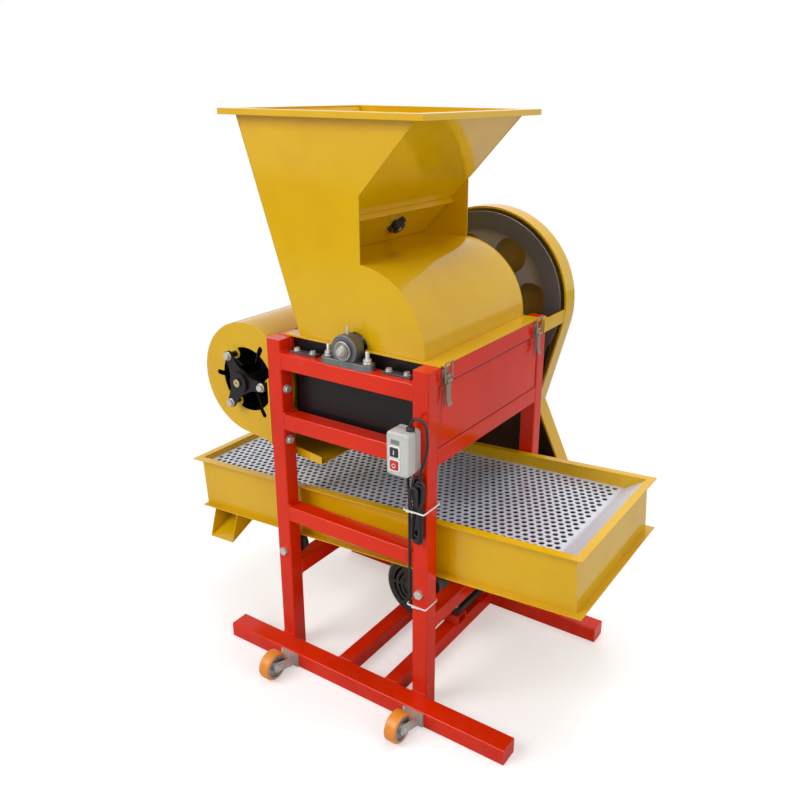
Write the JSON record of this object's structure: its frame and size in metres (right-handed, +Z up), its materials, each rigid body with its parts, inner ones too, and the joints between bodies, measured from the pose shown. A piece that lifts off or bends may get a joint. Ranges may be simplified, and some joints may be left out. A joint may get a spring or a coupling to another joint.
{
  "type": "peanut_sheller",
  "caption": "Motor-driven peanut sheller with feed hopper, beater drum, blower, shaking sieve tray, belt guard and a red tube frame on skids with casters",
  "frame": {"origin": "on the floor under the middle of the machine's outer box", "axes": "+X along the sieve towards its high end, +Y from the casters back to the belt guard, +Z up"},
  "size_m": [1.122, 0.8234, 1.3195],
  "materials": {
    "red_paint": "gloss enamel on welded tube",
    "yellow_paint": "gloss enamel on sheet steel",
    "black_paint": "satin black enamel on plate",
    "green_black_paint": "satin enamel on a ribbed motor",
    "cast_iron": "bare casting, oiled",
    "machine_steel": "turned and ground",
    "zinc_plate": "zinc plated fasteners and fittings",
    "sieve_zinc": "punched galvanised sheet",
    "belt_rubber": "cloth faced V-belt",
    "cord_rubber": "smooth black sheath",
    "tread_orange": "cast polyurethane",
    "box_plastic": "moulded light grey",
    "black_plastic": "moulded black",
    "red_plastic": "moulded red",
    "white_plastic": "moulded white"
  },
  "bodies": {
    "frame": {"legs": "red_paint", "skids": "red_paint", "motor_bars": "red_paint", "cross_rails": "red_paint", "side_rails": "red_paint", "side_panel": "red_paint", "drum_chamber": "black_paint", "concave_grate": "machine_steel", "bearing_blocks": "cast_iron", "rail_strips": "zinc_plate", "frame_bolts": "zinc_plate", "roller_bolts": "zinc_plate", "fan_housing": "yellow_paint", "fan_spiders": "black_paint", "motor_body": "green_black_paint", "motor_fan_cover": "green_black_paint", "drive_belts": "belt_rubber", "belt_guard": "yellow_paint", "switch_box": "box_plastic", "cable_gland": "black_plastic", "supply_cord": "cord_rubber", "cord_hank": "cord_rubber", "motor_lead": "cord_rubber", "cable_ties": "white_plastic", "caster_forks": "zinc_plate", "latch_bases": "zinc_plate", "cover_hinges": "zinc_plate"},
    "drum": {"drum_shaft": "machine_steel", "drum_rotor": "machine_steel", "flywheel_pulley": "cast_iron", "fan_drive_pulley": "cast_iron"},
    "fan": {"fan_impeller": "machine_steel", "fan_pulley": "cast_iron"},
    "motor_rotor": {"motor_shaft": "machine_steel", "motor_pulley": "cast_iron"},
    "eccentric": {"eccentric_shaft": "machine_steel", "eccentric_pulley": "cast_iron"},
    "sieve": {"tray_frame": "yellow_paint", "sieve_deck": "sieve_zinc", "tray_floor": "yellow_paint", "outlet_chute": "yellow_paint", "shaker_rod": "machine_steel"},
    "left_roller_pair": {"left_rollers": "black_plastic"},
    "right_roller_pair": {"right_rollers": "black_plastic"},
    "hopper": {"hopper_side_plates": "yellow_paint", "hopper_left_wall": "yellow_paint", "hopper_right_wall": "yellow_paint", "drum_cover": "yellow_paint", "hopper_rim": "yellow_paint", "cover_flange": "yellow_paint"},
    "gate": {"feed_gate": "yellow_paint"},
    "knob": {"gate_knob": "black_plastic"},
    "front_latch": {"front_latch_lever": "zinc_plate"},
    "front_loop": {"front_latch_loop": "zinc_plate"},
    "rear_latch": {"rear_latch_lever": "zinc_plate"},
    "rear_loop": {"rear_latch_loop": "zinc_plate"},
    "left_caster": {"left_caster_wheel": "tread_orange"},
    "right_caster": {"right_caster_wheel": "tread_orange"},
    "start": {"start_button": "black_plastic"},
    "stop": {"stop_button": "red_plastic"}
  },
  "joints": [
    {"name": "drum_spin", "type": "hinge", "parent": "frame", "child": "drum", "pos_m": [0, 0.00575, 0.837], "axis": [0, 1, 0], "continuous": true},
    {"name": "motor_spin", "type": "hinge", "parent": "frame", "child": "motor_rotor", "pos_m": [0.051, 0.00575, 0.158], "axis": [0, 1, 0], "continuous": true},
    {"name": "fan_spin", "type": "hinge", "parent": "frame", "child": "fan", "pos_m": [-0.333, 0.00575, 0.6945], "axis": [0, 1, 0], "continuous": true},
    {"name": "eccentric_spin", "type": "hinge", "parent": "frame", "child": "eccentric", "pos_m": [0.15, 0.00575, 0.281], "axis": [0, 1, 0], "continuous": true},
    {"name": "sieve_shake", "type": "slide", "parent": "frame", "child": "sieve", "axis": [0.9982, 0, 0.06], "range_m": [-0.006, 0.006]},
    {"name": "left_roller_spin", "type": "hinge", "parent": "frame", "child": "left_roller_pair", "pos_m": [-0.2, 0.00575, 0.28514], "axis": [0, 1, 0], "range_deg": [-15, 15]},
    {"name": "right_roller_spin", "type": "hinge", "parent": "frame", "child": "right_roller_pair", "pos_m": [0.2, 0.00575, 0.30917], "axis": [0, 1, 0], "range_deg": [-15, 15]},
    {"name": "hopper_open", "type": "hinge", "parent": "frame", "child": "hopper", "pos_m": [-0.205, 0.00575, 0.8368], "axis": [0, -1, 0], "range_deg": [0, 70]},
    {"name": "gate_slide", "type": "slide", "parent": "hopper", "child": "gate", "axis": [-0.6804, 0, -0.7328], "range_m": [0, 0.028]},
    {"name": "knob_turn", "type": "hinge", "parent": "gate", "child": "knob", "pos_m": [-0.07173, 0.03275, 1.06483], "axis": [0.7328, 0, -0.6804], "range_deg": [0, 360]},
    {"name": "front_latch_swing", "type": "hinge", "parent": "frame", "child": "front_latch", "pos_m": [0.227, -0.20425, 0.8085], "axis": [0, -1, 0], "range_deg": [0, 110]},
    {"name": "front_loop_swing", "type": "hinge", "parent": "front_latch", "child": "front_loop", "pos_m": [0.2305, -0.20425, 0.7985], "axis": [0, -1, 0], "range_deg": [-110, 0]},
    {"name": "rear_latch_swing", "type": "hinge", "parent": "frame", "child": "rear_latch", "pos_m": [0.227, 0.21575, 0.8085], "axis": [0, -1, 0], "range_deg": [0, 110]},
    {"name": "rear_loop_swing", "type": "hinge", "parent": "rear_latch", "child": "rear_loop", "pos_m": [0.2305, 0.21575, 0.7985], "axis": [0, -1, 0], "range_deg": [-110, 0]},
    {"name": "left_caster_spin", "type": "hinge", "parent": "frame", "child": "left_caster", "pos_m": [-0.153, -0.37675, 0.038], "axis": [1, 0, 0], "continuous": true},
    {"name": "right_caster_spin", "type": "hinge", "parent": "frame", "child": "right_caster", "pos_m": [0.219, -0.37675, 0.038], "axis": [1, 0, 0], "continuous": true},
    {"name": "start_press", "type": "slide", "parent": "frame", "child": "start", "axis": [0, 1, 0], "range_m": [0, 0.003], "stiffness_N_per_m": 400},
    {"name": "stop_press", "type": "slide", "parent": "frame", "child": "stop", "axis": [0, 1, 0], "range_m": [0, 0.003], "stiffness_N_per_m": 400}
  ],
  "couplings": [
    {"joint": "motor_spin", "follows": "drum_spin", "ratio": 4.1667},
    {"joint": "fan_spin", "follows": "drum_spin", "ratio": 2.7632},
    {"joint": "eccentric_spin", "follows": "drum_spin", "ratio": 1.5909},
    {"joint": "left_roller_spin", "follows": "sieve_shake", "rad_per_m": 40},
    {"joint": "right_roller_spin", "follows": "sieve_shake", "rad_per_m": 40},
    {"joint": "front_loop_swing", "follows": "front_latch_swing", "ratio": -1},
    {"joint": "rear_loop_swing", "follows": "rear_latch_swing", "ratio": -1}
  ]
}
